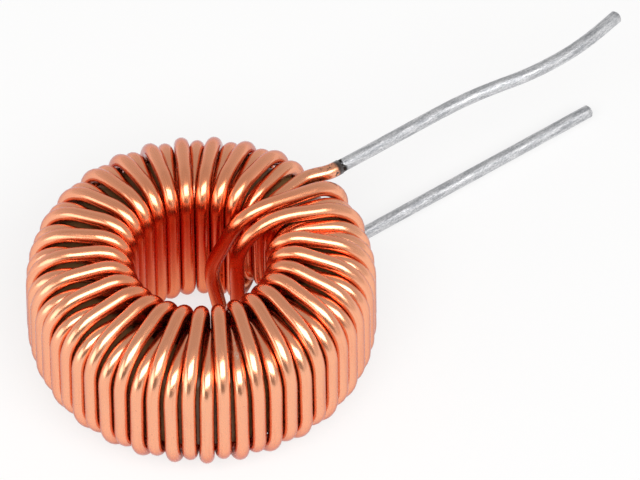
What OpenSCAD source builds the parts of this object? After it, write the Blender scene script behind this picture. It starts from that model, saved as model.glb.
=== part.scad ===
// A toroidal inductor lying flat: one enamelled copper wire wound on a coated ring core, with its
// two tinned ends leaving one above the other. Z is the ring's axis, the part rests on z = 0 and
// the ends leave along +X. Turns go on clockwise seen from above, from the lower end to the upper.

/* [Core] */
// Outer diameter of the coated ring
core_od = 33.8; // [33.8:0.2:40]
// Diameter of the ring's bare hole
core_bore = 20; // [20:0.2:21.4]
// Height of the coated ring
core_h = 11; // [10:0.5:15]
// Radius of the ring's rounded edges
core_edge = 2.5; // [2.4:0.1:2.8]

/* [Wire] */
// Diameter of the wire over its enamel
wire_d = 1.62; // [1.4:0.02:1.62]
// Diameter of the tinned ends
tinned_d = 1.42; // [1:0.02:1.58]
// Air left between the core and the wire that lies on it
wire_gap = 0.06; // [0.02:0.01:0.1]

/* [Winding] */
// Number of full turns
turns = 57; // [50:1:57]
// Angle of the first turn on the outside
first_angle = -3; // [-4:0.5:-2]
// Sector left open on the outside, where the two ends leave
open_sector = 22.3; // [20:0.1:24]
// Angle of the fifth pass through the hole, the first of the evenly spaced ones
hole_angle = -20.1; // [-20.4:0.1:-19.9]
// Distance between the lower and the upper layer in the hole
layer_step = 1.4; // [1.38:0.01:1.42]
// How far the upper layer's inner corners stand beyond that step
upper_lift = 1.23; // [1.1:0.05:1.4]
// How far the upper layer's outer corners stand off the core's faces, beyond the wire's lie
upper_rise = 0.8; // [0.75:0.05:1]
// How far the lower layer's outer corners stand off them
lower_rise = 0.3; // [0.2:0.05:0.35]
// Bend radius of the upper layer over the core's outer edges
upper_shoulder = 5; // [4.6:0.1:5.2]
// Bend radius of the lower layer over them
lower_shoulder = 3.6; // [3.4:0.1:3.7]
// Bend radius of the upper layer where it turns into the hole
upper_bend = 2.9; // [2.7:0.1:3.2]
// How far a turn strays from its even place on the outside, in degrees
stray = 0.2; // [0.1:0.05:0.25]

/* [Ends] */
// Reach of the start end from the ring's axis
start_reach = 53.2; // [30:0.1:60]
// Reach of the finish end from the ring's axis
finish_reach = 56.2; // [46:0.1:64]
// How far the finish end's middle sags sideways
finish_sag = 1.3; // [0:0.1:2]

/* [Hidden] */
$fn = 48;

// Centre lines of the wire where it lies against the core, and of the layer over it
wire_r = wire_d / 2;
face_z = core_h / 2 + wire_gap + wire_r;
outer_r = core_od / 2 + wire_gap + wire_r;
lower_r = core_bore / 2 - wire_gap - wire_r;
upper_r = lower_r - layer_step;
upper_z = face_z + layer_step + upper_lift;
lower_bend = core_edge + wire_gap + wire_r - 0.2;

// Spacing of the turns outside and in the hole, where the fifth pass and those after it stand evenly
// and every other one lies in the upper layer
outer_pitch = (360 - open_sector) / (turns - 1);
even_from = 4;
even_to_angle = 22.8;
hole_pitch = (360 + hole_angle - even_to_angle) / (turns - 1 - even_from);
pair_lean = 0.1;
golden_angle = 137.5;

// The first and third passes hang free in the hole: steps in from the upper layer, angles, heights
// and bend radii of their three corners, then angle, rise and bend radius of the outer corner that
// they run to
first_free = [
    [3.77, 16, 0.62 - upper_z, 2.93], [2.54, 45.4, -0.96, 5.72], [1.45, 9.1, upper_z - 0.28, 4.13]
];
third_free = [
    [3.22, -4.2, 0.15 - upper_z, 3.08], [3.32, -4.2, 1.3, 8.3], [3.28, -0.9, upper_z + 0.44, 5.81]
];
first_shoulder = [-2, 1.16, 3.58];
third_shoulder = [-14.24, 1.1, 4.4];

// The second, the fourth and the last pass lie against the core, close to the free ones
second_angle = 1.1;
second_shoulder = [-7.3, lower_rise, lower_shoulder];
fourth_angle = -9.6;
last_angle = 11.8;

// Where enamel gives way to tin, and how the ends get there from the ring
root_out = 1.8;
root_x = outer_r + root_out;
side_y = 2.9;
start_out = 3.4;
start_foot = 1.4;
start_corner = [outer_r + start_out, side_y, start_foot - upper_z];
start_bend = 10;
start_tail = 1.7;
finish_y = 2;
finish_in = 2;
finish_out = 0.5;
finish_corners = [[outer_r - finish_in, side_y], [outer_r + finish_out, finish_y]];
finish_bend = 4;
sag_bend = 14;
tip_cut = 0.2;

// Rods stay this much thinner than the bends they run into, and this far inside them
rod_less = 0.005;
lap = 0.05;

function polar(r, a, z) = [r * cos(a), r * sin(a), z];
function is_upper(pass) = pass == 2 || pass > even_from && pass < turns && pass % 2 == 1;
function stray_of(n) = stray * sin(golden_angle * n);
function hole_at(pass) =
    pass == 1 ? second_angle :
    pass == 3 ? fourth_angle :
    pass == turns ? last_angle :
    hole_angle - hole_pitch * (pass - even_from);

function column(r, a, z, rho) = [[polar(r, a, -z), rho], [polar(r, a, z), rho]];
function free_pass(corners) = [for (c = corners) [polar(upper_r - c[0], c[1], c[2]), c[3]]];
function hole_pass(pass) =
    pass == 0 ? free_pass(first_free) :
    pass == 2 ? free_pass(third_free) :
    is_upper(pass) ? column(upper_r, hole_at(pass), upper_z, upper_bend) :
    column(lower_r, hole_at(pass), face_z, lower_bend);

function outer_at(turn, n) =
    first_angle - outer_pitch * turn - (is_upper(turn) ? pair_lean : 0) + stray_of(n);
function shoulder(a, side, upper) = [
    polar(outer_r, a, side * (face_z + (upper ? upper_rise : lower_rise))),
    upper ? upper_shoulder : lower_shoulder
];
function free_shoulder(s) = [polar(outer_r, s[0], face_z + s[1]), s[2]];
function outer_top(turn) =
    turn == 0 ? free_shoulder(first_shoulder) :
    turn == 1 ? free_shoulder(second_shoulder) :
    turn == 2 ? free_shoulder(third_shoulder) :
    shoulder(outer_at(turn, 2 * turn), 1, is_upper(turn));
function outer_bottom(turn) = shoulder(outer_at(turn, 2 * turn + 1), -1, is_upper(turn + 1));

// Corners of the wire's centre line about the ring's middle, each with its bend radius
start_way = unit(free_pass(first_free)[0][0] - start_corner);
start_root = start_corner + start_tail * start_way;
finish_root = [root_x, finish_y, face_z];
wire_path = concat(
    [[start_root, 0]],
    [for (t = [0:turns - 1]) each concat(hole_pass(t), [outer_top(t), outer_bottom(t)])],
    hole_pass(turns),
    [for (c = finish_corners) [[c.x, c.y, face_z], finish_bend]],
    [[finish_root, 0]]
);

// Corners of the two ends beyond their roots
start_path = [
    [start_root, 0],
    [start_corner, start_bend],
    [[start_reach - tip_cut, start_corner.y, start_corner.z], 0]
];
finish_run = finish_reach - tip_cut - root_x;
finish_path = [
    [finish_root, 0],
    [finish_root + [0.46 * finish_run, 0, 0], sag_bend],
    [finish_root + [0.67 * finish_run, -finish_sag, 0], sag_bend],
    [finish_root + [0.84 * finish_run, -finish_sag, 0], sag_bend],
    [finish_root + [finish_run, 0, 0], 0]
];

function unit(v) = v / norm(v);
function half_corner(p, q, s) = acos(unit(p - q) * unit(s - q)) / 2;
function foot(q, towards, rho, half) = q + unit(towards - q) * rho / tan(half);
function bend_centre(p, q, s, rho) =
    q + unit(unit(p - q) + unit(s - q)) * rho / sin(half_corner(p, q, s));
function bend_axis(p, q, s) = unit(cross(s - q, p - q));
function bend_low(p, q, s, rho) =
    bend_centre(p, q, s, rho).z - rho * sqrt(1 - pow(bend_axis(p, q, s).z, 2));
function run_end(path, k, step) =
    path[k][1] == 0 ? path[k][0] :
    foot(path[k][0], path[k + step][0], path[k][1],
        half_corner(path[k - 1][0], path[k][0], path[k + 1][0]));

// Height of the ring's middle when the lowest bends, where the wire turns up into the hole, rest on
// z = 0
mid_z = wire_r - min([
    for (k = [1:len(wire_path) - 2])
        if (wire_path[k][0].z < -face_z && wire_path[k + 1][0].z - wire_path[k][0].z > face_z)
            bend_low(wire_path[k - 1][0], wire_path[k][0], wire_path[k + 1][0], wire_path[k][1])
]);

module along(a, b) {
    v = b - a;
    translate(a) rotate([0, acos(v.z / norm(v)), atan2(v.y, v.x)]) children();
}

module rod(a, b, r) along(a, b) cylinder(h = norm(b - a), r = r);

module tipped_rod(a, b, r) along(a, b) {
    h = norm(b - a);
    rotate_extrude() polygon([[0, 0], [r, 0], [r, h], [r - tip_cut, h + tip_cut], [0, h + tip_cut]]);
}

module bend(p, q, s, rho, r) {
    half = half_corner(p, q, s);
    c = bend_centre(p, q, s, rho);
    n = bend_axis(p, q, s);
    x = unit(foot(q, p, rho, half) - c);
    y = cross(n, x);
    multmatrix([[x.x, y.x, n.x, c.x], [x.y, y.y, n.y, c.y], [x.z, y.z, n.z, c.z], [0, 0, 0, 1]])
        rotate_extrude(angle = 180 - 2 * half) translate([rho, 0]) circle(r);
}

module bent_wire(path, r, tipped = false) {
    last = len(path) - 1;
    for (k = [0:last - 1]) {
        a = run_end(path, k, 1);
        b = run_end(path, k + 1, -1);
        d = unit(b - a) * lap;
        from = a - (k > 0 ? d : [0, 0, 0]);
        if (tipped && k == last - 1) tipped_rod(from, b, r - rod_less);
        else rod(from, b + (k < last - 1 ? d : [0, 0, 0]), r - rod_less);
    }
    for (k = [1:last - 1]) bend(path[k - 1][0], path[k][0], path[k + 1][0], path[k][1], r);
}

module core() color([0.42, 0.42, 0.28]) translate([0, 0, mid_z - core_h / 2])
    rotate_extrude() translate([core_bore / 2, 0]) ring_section();

module ring_section() {
    w = (core_od - core_bore) / 2;
    translate([0, core_edge]) square([w, core_h - 2 * core_edge]);
    translate([core_edge, 0]) square([w - 2 * core_edge, core_h]);
    for (x = [core_edge, w - core_edge], y = [core_edge, core_h - core_edge])
        translate([x, y]) circle(core_edge);
}

module winding() color([0.8, 0.45, 0.28]) translate([0, 0, mid_z]) bent_wire(wire_path, wire_r);

module tinned_end(path) color([0.7, 0.7, 0.72]) translate([0, 0, mid_z])
    bent_wire(path, tinned_d / 2 + rod_less, true);

module start_lead() tinned_end(start_path);

module finish_lead() tinned_end(finish_path);

core();
winding();
start_lead();
finish_lead();
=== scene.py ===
import math

import bpy
import numpy as np
from mathutils import Matrix, Vector


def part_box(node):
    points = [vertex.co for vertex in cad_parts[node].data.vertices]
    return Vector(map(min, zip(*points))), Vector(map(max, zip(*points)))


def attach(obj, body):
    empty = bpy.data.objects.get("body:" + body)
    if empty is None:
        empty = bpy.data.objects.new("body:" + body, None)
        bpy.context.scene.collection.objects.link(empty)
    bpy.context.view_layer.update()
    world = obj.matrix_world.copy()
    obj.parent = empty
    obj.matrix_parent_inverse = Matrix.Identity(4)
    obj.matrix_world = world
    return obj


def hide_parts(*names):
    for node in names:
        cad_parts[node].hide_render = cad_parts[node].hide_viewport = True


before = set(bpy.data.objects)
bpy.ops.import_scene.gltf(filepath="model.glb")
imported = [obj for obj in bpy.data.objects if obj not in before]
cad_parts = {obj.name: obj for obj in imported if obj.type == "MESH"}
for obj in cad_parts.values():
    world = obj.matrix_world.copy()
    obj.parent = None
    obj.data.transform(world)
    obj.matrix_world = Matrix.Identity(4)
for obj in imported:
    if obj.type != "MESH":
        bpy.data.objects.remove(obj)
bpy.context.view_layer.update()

# The core is the CAD's own node. The wire and its two ends are swept again along the CAD source's
# path, with finer rounds. Sizes are in mm, and places are about the ring's middle, until a mesh, a
# material or the camera needs the frame's metres.
MM = 0.001
core_low, core_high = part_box("core")
mid_z = (core_low.z + core_high.z) / 2 / MM


def in_frame(place):
    """A place about the ring's middle, in the frame's metres."""
    return (Vector(place) + Vector((0, 0, mid_z))) * MM


# ---------------------------------------------------------------- sizes, named as in the CAD source
core_od = 33.8
core_bore = 20.0
core_h = 11.0
core_edge = 2.5
wire_d = 1.62
tinned_d = 1.42
wire_gap = 0.06

turns = 57
first_angle = -3.0
open_sector = 22.3
hole_angle = -20.1
layer_step = 1.4
upper_lift = 1.23
upper_rise = 0.8
lower_rise = 0.3
upper_shoulder = 5.0
lower_shoulder = 3.6
upper_bend = 2.9
stray = 0.2

start_reach = 53.2
finish_reach = 56.2
finish_sag = 1.3
tip_cut = 0.2

# Centre lines of the wire where it lies against the core, and of the layer over it
wire_r = wire_d / 2
face_z = core_h / 2 + wire_gap + wire_r
outer_r = core_od / 2 + wire_gap + wire_r
lower_r = core_bore / 2 - wire_gap - wire_r
upper_r = lower_r - layer_step
upper_z = face_z + layer_step + upper_lift
bend_ease = 0.2
lower_bend = core_edge + wire_gap + wire_r - bend_ease

# Spacing of the turns outside and in the hole, where the fifth pass and those after it stand evenly
outer_pitch = (360 - open_sector) / (turns - 1)
even_from = 4
even_to_angle = 22.8
hole_pitch = (360 + hole_angle - even_to_angle) / (turns - 1 - even_from)
pair_lean = 0.1
golden_angle = 137.5

# The first and third passes hang free in the hole: steps in from the upper layer, angles, heights
# and bend radii of their three corners
first_free = [
    (3.77, 16, 0.62 - upper_z, 2.93),
    (2.54, 45.4, -0.96, 5.72),
    (1.45, 9.1, upper_z - 0.28, 4.13),
]
third_free = [
    (3.22, -4.2, 0.15 - upper_z, 3.08),
    (3.32, -4.2, 1.3, 8.3),
    (3.28, -0.9, upper_z + 0.44, 5.81),
]
# The second, the fourth and the last pass lie against the core, close to the free ones
second_angle = 1.1
fourth_angle = -9.6
last_angle = 11.8
# Angle, rise and bend radius of the first three turns' upper outer corners
first_shoulders = [
    (-2.0, 1.16, 3.58),
    (-7.3, lower_rise, lower_shoulder),
    (-14.24, 1.1, 4.4),
]

# Where enamel gives way to tin, and how the ends get there from the ring
root_out = 1.8
root_x = outer_r + root_out
side_y = 2.9
start_out = 3.4
start_foot = 1.4
start_corner = np.array([outer_r + start_out, side_y, start_foot - upper_z])
start_bend = 10.0
start_tail = 1.7
finish_y = 2.0
finish_in = 2.0
finish_out = 0.5
finish_corners = [(outer_r - finish_in, side_y), (outer_r + finish_out, finish_y)]
finish_bend = 4.0
# Corners of the finish end's bow: share of its run, sag, and bend radius. The radii are wider than
# the CAD source's, because the photograph shows a soft bow.
bow = [(0.46, 0, 44.0), (0.67, finish_sag, 28.0), (0.84, finish_sag, 28.0)]


# ---------------------------------------------------------------- the wire's path
def unit(v):
    return v / np.linalg.norm(v)


def polar(r, a, z):
    return np.array([r * math.cos(math.radians(a)), r * math.sin(math.radians(a)), z])


def is_upper(n):
    """Whether the nth pass through the hole, counted from 0, lies in the upper layer."""
    return n == 2 or (even_from < n < turns and n % 2 == 1)


def hole_at(n):
    single = {1: second_angle, 3: fourth_angle, turns: last_angle}
    return single.get(n, hole_angle - hole_pitch * (n - even_from))


def column(r, a, z, rho):
    return [(polar(r, a, -z), rho), (polar(r, a, z), rho)]


def free_pass(corners):
    return [(polar(upper_r - step_in, a, z), rho) for step_in, a, z, rho in corners]


def hole_pass(n):
    if n == 0:
        return free_pass(first_free)
    if n == 2:
        return free_pass(third_free)
    if is_upper(n):
        return column(upper_r, hole_at(n), upper_z, upper_bend)
    return column(lower_r, hole_at(n), face_z, lower_bend)


def outer_at(turn, n):
    lean = pair_lean if is_upper(turn) else 0
    return first_angle - outer_pitch * turn - lean + stray * math.sin(math.radians(golden_angle * n))


def shoulder(a, side, upper):
    rise = upper_rise if upper else lower_rise
    rho = upper_shoulder if upper else lower_shoulder
    return polar(outer_r, a, side * (face_z + rise)), rho


def outer_top(turn):
    if turn < len(first_shoulders):
        a, rise, rho = first_shoulders[turn]
        return polar(outer_r, a, face_z + rise), rho
    return shoulder(outer_at(turn, 2 * turn), 1, is_upper(turn))


def outer_bottom(turn):
    return shoulder(outer_at(turn, 2 * turn + 1), -1, is_upper(turn + 1))


def whole_wire():
    """Corners of the enamelled wire from one root to the other, each with its bend radius."""
    path = [(start_root, 0)]
    for turn in range(turns):
        path += hole_pass(turn)
        path += [outer_top(turn), outer_bottom(turn)]
    path += hole_pass(turns)
    path += [(np.array([x, y, face_z]), finish_bend) for x, y in finish_corners]
    path.append((finish_root, 0))
    return path


start_root = start_corner + start_tail * unit(free_pass(first_free)[0][0] - start_corner)
start_tip = np.array([start_reach - tip_cut, start_corner[1], start_corner[2]])
start_path = [(start_root, 0), (start_corner, start_bend), (start_tip, 0)]

finish_root = np.array([root_x, finish_y, face_z])
finish_run = finish_reach - tip_cut - root_x
finish_path = [(finish_root, 0)]
finish_path += [(finish_root + np.array([share * finish_run, -sag, 0]), rho) for share, sag, rho in bow]
finish_path.append((finish_root + np.array([finish_run, 0, 0]), 0))


# ---------------------------------------------------------------- tubes
def straight(a, b, step):
    """Points after a and up to b, about a step apart."""
    n = max(1, round(np.linalg.norm(b - a) / step))
    return [a + (b - a) * i / n for i in range(1, n + 1)]


def arc(centre, a, b, sweep, step):
    """Points after a and up to b on a round about centre, at most a step in degrees apart."""
    x = a - centre
    y = np.cross(unit(np.cross(x, b - centre)), x)
    n = max(2, math.ceil(math.degrees(sweep) / step))
    angles = [sweep * i / n for i in range(1, n + 1)]
    return [centre + x * math.cos(angle) + y * math.sin(angle) for angle in angles]


def sample(path, bend_step, rod_step):
    """Points along a path of straight runs and bends."""
    pts = [path[0][0]]
    for before, (corner, rho), after in zip(path, path[1:], path[2:]):
        back = unit(before[0] - corner)
        on = unit(after[0] - corner)
        half = math.acos(back @ on) / 2
        foot = rho / math.tan(half)
        centre = corner + unit(back + on) * rho / math.sin(half)
        pts += straight(pts[-1], corner + back * foot, rod_step)
        pts += arc(centre, corner + back * foot, corner + on * foot, math.pi - 2 * half, bend_step)
    pts += straight(pts[-1], path[-1][0], rod_step)
    return np.array(pts)


def tube(name, pts, radii, sides):
    """A closed round tube along pts, which don't start along Y. The vertex attribute 'run' holds each
    vertex's place on the wire as if it were pulled straight along Z, so a streak can follow the wire."""
    along = np.gradient(pts, axis=0)
    along /= np.linalg.norm(along, axis=1)[:, None]
    normal = np.zeros_like(pts)
    normal[0] = unit(np.cross(along[0], [0, 1, 0]))
    for i in range(1, len(pts)):
        normal[i] = unit(normal[i - 1] - along[i] * (normal[i - 1] @ along[i]))
    side = np.cross(along, normal)

    around = np.arange(sides) * 2 * math.pi / sides
    cos = np.cos(around)
    sin = np.sin(around)
    spokes = normal[:, None, :] * cos[None, :, None] + side[:, None, :] * sin[None, :, None]
    rings = pts[:, None, :] + radii[:, None, None] * spokes
    verts = (rings.reshape(-1, 3) + [0, 0, mid_z]) * MM

    run = np.empty_like(rings)
    run[:, :, 0] = wire_r * cos
    run[:, :, 1] = wire_r * sin
    run[:, :, 2] = np.cumsum(np.linalg.norm(np.diff(pts, axis=0, prepend=pts[:1]), axis=1))[:, None]

    ring = np.arange(len(pts) - 1)[:, None] * sides
    here = np.arange(sides)[None, :]
    beside = (here + 1) % sides
    quads = [ring + here, ring + beside, ring + sides + beside, ring + sides + here]
    faces = np.stack(quads, axis=-1).reshape(-1, 4).tolist()
    last_ring = (len(pts) - 1) * sides
    faces.append(list(range(sides - 1, -1, -1)))
    faces.append(list(range(last_ring, last_ring + sides)))

    mesh = bpy.data.meshes.new(name)
    mesh.from_pydata(verts.tolist(), [], faces)
    attribute = mesh.attributes.new("run", "FLOAT_VECTOR", "POINT")
    attribute.data.foreach_set("vector", run.astype(np.float32).ravel())
    mesh.polygons.foreach_set("use_smooth", [True] * (len(faces) - 2) + [False, False])
    mesh.update()
    piece = bpy.data.objects.new(name, mesh)
    bpy.context.scene.collection.objects.link(piece)
    return piece


# ---------------------------------------------------------------- the photograph's directions
ELEVATION = math.radians(48.5)
AZIMUTH = math.radians(35)
right = Vector((math.cos(AZIMUTH), -math.sin(AZIMUTH), 0))
away = Vector((math.sin(AZIMUTH), math.cos(AZIMUTH), 0))
up = away * math.sin(ELEVATION) + Vector((0, 0, math.cos(ELEVATION)))
forward = away * math.cos(ELEVATION) - Vector((0, 0, math.sin(ELEVATION)))


# ---------------------------------------------------------------- materials
class Nodes:
    """A short way to write a node tree. Except for put and surface, a method returns the new node or
    its output."""

    def __init__(self, owner):
        owner.use_nodes = True
        self.tree = owner.node_tree
        self.tree.nodes.clear()

    def put(self, socket, value):
        if isinstance(value, bpy.types.NodeSocket):
            self.tree.links.new(value, socket)
        elif socket.type == "RGBA":
            socket.default_value = (*value, 1)
        else:
            socket.default_value = value

    def add(self, kind, inputs=None, **settings):
        node = self.tree.nodes.new(kind)
        for name, value in settings.items():
            setattr(node, name, value)
        for name, value in (inputs or {}).items():
            self.put(node.inputs[name], value)
        return node

    def run(self):
        """Place on the wire, as if it were pulled straight along Z, in mm."""
        return self.add("ShaderNodeAttribute", attribute_name="run").outputs["Vector"]

    def place(self):
        """Place in the frame, in metres."""
        return self.add("ShaderNodeTexCoord").outputs["Object"]

    def noise(self, vector, scale, detail=2.0, rough=0.5):
        inputs = {"Vector": vector, "Scale": scale, "Detail": detail, "Roughness": rough}
        return self.add("ShaderNodeTexNoise", inputs).outputs["Fac"]

    def stretch(self, vector, scale):
        return self.add("ShaderNodeMapping", {"Vector": vector, "Scale": scale}).outputs["Vector"]

    def height(self, vector):
        return self.add("ShaderNodeSeparateXYZ", {0: vector}).outputs["Z"]

    def vector_math(self, operation, a, b=(0, 0, 0)):
        return self.add("ShaderNodeVectorMath", {0: a, 1: b}, operation=operation).outputs["Value"]

    def math(self, operation, a, b):
        return self.add("ShaderNodeMath", {0: a, 1: b}, operation=operation).outputs[0]

    def ramp(self, value, start, end, at_start=0.0, at_end=1.0):
        """at_start where the value hasn't reached start, at_end where it is past end, and an even
        change between them."""
        inputs = {"Value": value, "From Min": start, "From Max": end, "To Min": at_start, "To Max": at_end}
        return self.add("ShaderNodeMapRange", inputs).outputs["Result"]

    def mix(self, share, a, b):
        """Colour a, with that share of colour b."""
        node = self.add("ShaderNodeMix", data_type="RGBA")
        self.put(node.inputs[0], share)
        self.put(node.inputs[6], a)
        self.put(node.inputs[7], b)
        return node.outputs[2]

    def from_roots(self, place):
        """Distance to the nearer of the two places where enamel gives way to tin."""
        ways = [self.vector_math("DISTANCE", place, in_frame(p)) for p in (start_root, finish_root)]
        return self.math("MINIMUM", *ways)

    def bump(self, relief, strength, depth):
        inputs = {"Height": relief, "Strength": strength, "Distance": depth}
        return self.add("ShaderNodeBump", inputs).outputs[0]

    def surface(self, inputs):
        """The finished material: one principled shader with these inputs."""
        shader = self.add("ShaderNodeBsdfPrincipled", inputs)
        self.add("ShaderNodeOutputMaterial", {"Surface": shader.outputs[0]})


def enamelled_copper():
    """Copper under clear enamel, with streaks along the wire and small flecks. It is painted redder
    towards the hole and reddest in it: painted bounce light, in place of the light that bounces there
    between the turns. It is scraped on one front turn, and burnt where the tin begins."""
    copper = (1.0, 0.46, 0.27)
    paler_copper = (0.99, 0.50, 0.30)
    painted_bounce_copper = (0.98, 0.34, 0.15)
    painted_bounce_red = (0.93, 0.13, 0.035)
    streak_red = (0.80, 0.23, 0.09)
    fleck_brown = (0.42, 0.13, 0.06)
    scraped_metal = (1.0, 0.80, 0.70)
    char = (0.035, 0.018, 0.012)
    scrape_at = (-4.73, -13.14, 7.15)

    mat = bpy.data.materials.new("enamelled_copper")
    g = Nodes(mat)
    run = g.run()
    place = g.place()
    streak = g.noise(g.stretch(run, (1, 1, 0.05)), 3.2, 3)
    fine = g.noise(g.stretch(run, (1, 1, 0.12)), 9.0, 2)
    cloud = g.noise(place, 120.0, 2)
    fleck = g.noise(run, 2.6, 2)
    colour = g.mix(g.ramp(cloud, 0.3, 0.7), copper, paler_copper)

    # Painted bounce light: the copper is painted redder from the outer wall in towards the hole
    from_axis = g.vector_math("LENGTH", g.stretch(place, (1, 1, 0)))
    colour = g.mix(g.ramp(from_axis, 17.5 * MM, 8.5 * MM, 0, 0.75), colour, painted_bounce_copper)
    # Painted bounce light: a deep red band on the hole's wall, above the feet and below the top bends
    height = g.height(place)
    over_feet = g.ramp(height, (mid_z - 5) * MM, (mid_z + 1) * MM)
    under_bends = g.ramp(height, (mid_z + 6.5) * MM, (mid_z + 4.5) * MM)
    in_hole = g.ramp(from_axis, 10 * MM, 8.8 * MM, 0, 0.8)
    painted_bounce_band = g.math("MULTIPLY", g.math("MULTIPLY", over_feet, under_bends), in_hole)
    colour = g.mix(painted_bounce_band, colour, painted_bounce_red)

    colour = g.mix(g.ramp(streak, 0.55, 0.8, 0, 0.35), colour, streak_red)
    colour = g.mix(g.ramp(fleck, 0.70, 0.76, 0, 0.3), colour, fleck_brown)

    near_scrape = g.ramp(g.vector_math("DISTANCE", place, in_frame(scrape_at)), 1.5 * MM, 0.9 * MM)
    chips = g.ramp(g.noise(run, 3.0, 3, 0.7), 0.50, 0.58)
    colour = g.mix(g.math("MULTIPLY", near_scrape, chips), colour, scraped_metal)

    from_tin = g.from_roots(place)
    specks = g.ramp(g.noise(run, 2.6, 3, 0.6), 0.53, 0.60)
    specks = g.math("MULTIPLY", specks, g.ramp(from_tin, 4.5 * MM, 1.0 * MM))
    burnt = g.math("MAXIMUM", specks, g.ramp(from_tin, 1.15 * MM, 0.90 * MM))
    colour = g.mix(burnt, colour, char)

    rough = g.math("ADD", g.ramp(fine, 0.3, 0.7, 0.20, 0.30), g.ramp(fleck, 0.66, 0.76, 0, 0.2))
    rough = g.math("ADD", rough, g.math("MULTIPLY", burnt, 0.3))
    relief = g.math("ADD", g.math("MULTIPLY", streak, 0.6), g.math("MULTIPLY", fine, 0.4))
    g.surface({
        "Base Color": colour,
        "Metallic": 1.0,
        "Roughness": rough,
        "Specular Tint": (0.42, 0.05, 0.015),
        "Normal": g.bump(relief, 0.25, 0.03 * MM),
        "Coat Weight": 0.9,
        "Coat Roughness": 0.08,
        "Coat IOR": 1.65,
        "Coat Tint": (0.98, 0.85, 0.76),
    })
    return mat


def tinned_copper():
    """Dipped tin: grey and uneven, drawn out along the wire, with soot beside the enamel."""
    dark_tin = (0.38, 0.39, 0.41)
    bright_tin = (0.80, 0.80, 0.81)
    dull_patch = (0.42, 0.42, 0.44)
    soot = (0.03, 0.027, 0.025)

    mat = bpy.data.materials.new("tinned_copper")
    g = Nodes(mat)
    run = g.run()
    streak = g.noise(g.stretch(run, (1, 1, 0.16)), 2.6, 4, 0.6)
    patch = g.noise(g.stretch(run, (1, 1, 0.35)), 1.1, 3)
    grain = g.noise(g.stretch(run, (1, 1, 0.6)), 6.0, 4, 0.7)
    shade = g.math("ADD", g.math("MULTIPLY", streak, 0.55), g.math("MULTIPLY", grain, 0.45))
    colour = g.mix(g.ramp(shade, 0.40, 0.60), dark_tin, bright_tin)
    colour = g.mix(g.ramp(patch, 0.55, 0.70, 0, 0.45), colour, dull_patch)

    near_enamel = g.ramp(g.from_roots(g.place()), 0.95 * MM, 0.80 * MM)
    clean_gaps = g.ramp(g.noise(run, 1.6, 2), 0.46, 0.56, -1.0, 0.0)
    colour = g.mix(g.math("ADD", near_enamel, clean_gaps), colour, soot)

    g.surface({
        "Base Color": colour,
        "Metallic": 1.0,
        "Roughness": g.ramp(shade, 0.40, 0.62, 0.52, 0.36),
        "Normal": g.bump(shade, 0.8, 0.12 * MM),
    })
    return mat


def core_coat():
    """The core's olive-brown coat, a little cloudy and finely grained."""
    coat = (0.22, 0.115, 0.042)
    paler_coat = (0.27, 0.15, 0.06)

    mat = bpy.data.materials.new("core_coat")
    g = Nodes(mat)
    place = g.place()
    cloud = g.noise(place, 180.0, 3)
    grain = g.noise(place, 1500.0, 3)
    g.surface({
        "Base Color": g.mix(g.ramp(cloud, 0.35, 0.65), coat, paler_coat),
        "Roughness": g.ramp(grain, 0.3, 0.7, 0.28, 0.4),
        "Normal": g.bump(grain, 0.4, 0.1 * MM),
    })
    return mat


def floor_material():
    """Pale paper. The camera sees most of it as an even glow and the rest as lit paper, so it is
    white and keeps the part's shadow. So do mirrored rays, except under the ring, where they see only
    lit paper, and under the hole, where the glow is painted red in place of light from the winding.
    That red is paler away from the camera's side."""
    paper = (0.92, 0.919, 0.917)
    paler_paper = (0.94, 0.939, 0.937)
    glow_white = (1.0, 0.998, 0.996)
    near_red = (0.45, 0.07, 0.03)
    far_red = (0.95, 0.70, 0.58)
    glow_share = 0.74

    mat = bpy.data.materials.new("floor")
    g = Nodes(mat)
    ray = g.add("ShaderNodeLightPath").outputs
    place = g.place()
    radius = g.vector_math("LENGTH", place)
    depth = g.vector_math("DOT_PRODUCT", place, away)
    under_hole = g.ramp(radius, 12 * MM, 9 * MM)
    past_ring = g.ramp(radius, 13 * MM, 25 * MM)
    mirrored = g.math("MAXIMUM", ray["Is Glossy Ray"], ray["Is Transmission Ray"])
    mirrored = g.math("MULTIPLY", mirrored, g.math("MAXIMUM", under_hole, past_ring))
    seen = g.math("MAXIMUM", ray["Is Camera Ray"], mirrored)
    red_light = g.mix(g.ramp(depth, -5.5 * MM, 4 * MM), near_red, far_red)
    glow_colour = g.mix(g.math("MULTIPLY", under_hole, mirrored), glow_white, red_light)
    glow = g.add("ShaderNodeEmission", {"Color": glow_colour, "Strength": 1.0})
    sheet = g.add("ShaderNodeBsdfDiffuse", {"Color": g.mix(g.noise(place, 4.0), paper, paler_paper)})
    share = g.math("MULTIPLY", seen, glow_share)
    both = g.add("ShaderNodeMixShader", {0: share, 1: sheet.outputs[0], 2: glow.outputs[0]})
    g.add("ShaderNodeOutputMaterial", {"Surface": both.outputs[0]})
    return mat


# ---------------------------------------------------------------- the pieces
# How far apart a tube's rings are, at most in a bend (degrees) and about in a straight run (mm)
WIRE_STEPS = {"bend_step": 9.0, "rod_step": 2.4}
END_STEPS = {"bend_step": 3.0, "rod_step": 0.5}
WIRE_SIDES = 18
END_SIDES = 32

wire_points = sample(whole_wire(), **WIRE_STEPS)
winding = tube("winding_wire", wire_points, np.full(len(wire_points), wire_r), WIRE_SIDES)
winding.data.materials.append(enamelled_copper())
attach(winding, "root")
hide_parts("winding")

tin = tinned_copper()
for name, node, path in (
    ("start_end", "start_lead", start_path),
    ("finish_end", "finish_lead", finish_path),
):
    end_points = sample(path, **END_STEPS)
    tip = end_points[-1] + unit(end_points[-1] - end_points[-2]) * tip_cut
    end_points = np.vstack([end_points, tip])
    radii = np.full(len(end_points), tinned_d / 2)
    radii[-1] -= tip_cut
    end = tube(name, end_points, radii, END_SIDES)
    end.data.materials.append(tin)
    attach(end, "root")
    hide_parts(node)

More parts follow.
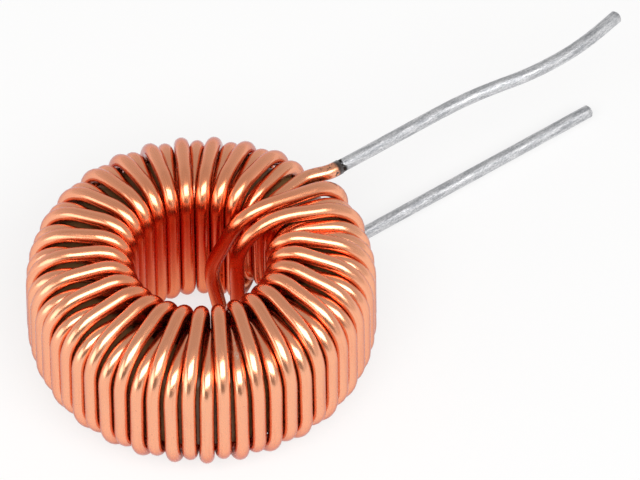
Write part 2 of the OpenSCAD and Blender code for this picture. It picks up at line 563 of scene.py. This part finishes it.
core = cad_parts["core"]
core.data.materials.clear()
core.data.materials.append(core_coat())

# ---------------------------------------------------------------- floor
FLOOR_REACH = 3.0
floor_corners = [(x * FLOOR_REACH, y * FLOOR_REACH, 0) for x, y in ((-1, -1), (1, -1), (1, 1), (-1, 1))]
floor_mesh = bpy.data.meshes.new("floor")
floor_mesh.from_pydata(floor_corners, [], [(0, 1, 2, 3)])
floor = bpy.data.objects.new("floor", floor_mesh)
bpy.context.scene.collection.objects.link(floor)
floor.data.materials.append(floor_material())

# ---------------------------------------------------------------- camera
# The photograph hardly shows perspective, so the lens is long and far away. The ring's middle lies at
# RING_PX in the photograph, which leans by ROLL.
WIDTH_PX = 640
HEIGHT_PX = 480
RING_PX = (201.48, 299.5)
PX_PER_MM = 9.43
ROLL = math.radians(0.9)
LENS = 1000.0
SENSOR = 36.0
CLIP_END = 20.0

cam_x = right * math.cos(ROLL) - up * math.sin(ROLL)
cam_y = right * math.sin(ROLL) + up * math.cos(ROLL)
middle = (cam_x * (WIDTH_PX / 2 - RING_PX[0]) + cam_y * (RING_PX[1] - HEIGHT_PX / 2)) / PX_PER_MM
distance = WIDTH_PX * LENS / (SENSOR * PX_PER_MM)
camera_data = bpy.data.cameras.new("camera")
camera_data.lens = LENS
camera_data.sensor_width = SENSOR
camera_data.clip_end = CLIP_END
camera = bpy.data.objects.new("camera", camera_data)
turned = Matrix((cam_x, cam_y, -forward)).transposed().to_4x4()
camera.matrix_world = Matrix.Translation(in_frame(middle - forward * distance)) @ turned
bpy.context.scene.collection.objects.link(camera)
bpy.context.scene.camera = camera

# ---------------------------------------------------------------- lights
# Distances and sizes in metres, angles in degrees
LIGHT_DISTANCE = 1.0
AIM_HEIGHT = 0.008


def way_to(azimuth, elevation):
    """The way from the part to a place in the studio. Azimuth 0 is on the camera's side, and azimuth
    grows to the camera's right."""
    a = math.radians(azimuth)
    e = math.radians(elevation)
    return (right * math.sin(a) - away * math.cos(a)) * math.cos(e) + Vector((0, 0, math.sin(e)))


def softbox(name, azimuth, elevation, width, height, radiance):
    """A rectangular soft light that the camera doesn't see."""
    data = bpy.data.lights.new(name, "AREA")
    data.shape = "RECTANGLE"
    data.size = width
    data.size_y = height
    data.energy = radiance * math.pi * width * height
    light = bpy.data.objects.new(name, data)
    way = way_to(azimuth, elevation)
    light.location = way * LIGHT_DISTANCE + Vector((0, 0, AIM_HEIGHT))
    light.rotation_euler = way.to_track_quat("Z", "Y").to_euler()
    light.visible_camera = False
    bpy.context.scene.collection.objects.link(light)


softbox("main_box", azimuth=8, elevation=50, width=1.30, height=0.60, radiance=4.6)
softbox("left_box", azimuth=-60, elevation=12, width=0.85, height=0.50, radiance=1.7)

# The studio is a little darker overhead, with a dark patch low on the camera's side. The camera sees
# white instead, and diffuse rays get an even soft light.
DARK_PATCH_WAY = way_to(azimuth=-8, elevation=10)
SOFT_LIGHT = (0.32, 0.32, 0.32)
WHITE = (1, 1, 1)

world = bpy.data.worlds.new("studio")
bpy.context.scene.world = world
g = Nodes(world)
ray = g.add("ShaderNodeLightPath").outputs
direction = g.add("ShaderNodeTexCoord").outputs["Generated"]
studio = g.ramp(g.height(direction), 0.0, 0.75, 0.74, 0.52)
to_patch = g.vector_math("DOT_PRODUCT", direction, DARK_PATCH_WAY)
studio = g.math("MULTIPLY", studio, g.ramp(to_patch, 0.82, 0.95, 1.0, 0.30))
soft = g.mix(ray["Is Diffuse Ray"], studio, SOFT_LIGHT)
shown = g.mix(ray["Is Camera Ray"], soft, WHITE)
background = g.add("ShaderNodeBackground", {"Color": shown})
g.add("ShaderNodeOutputWorld", {"Surface": background.outputs[0]})

bpy.context.scene.view_settings.view_transform = "Standard"
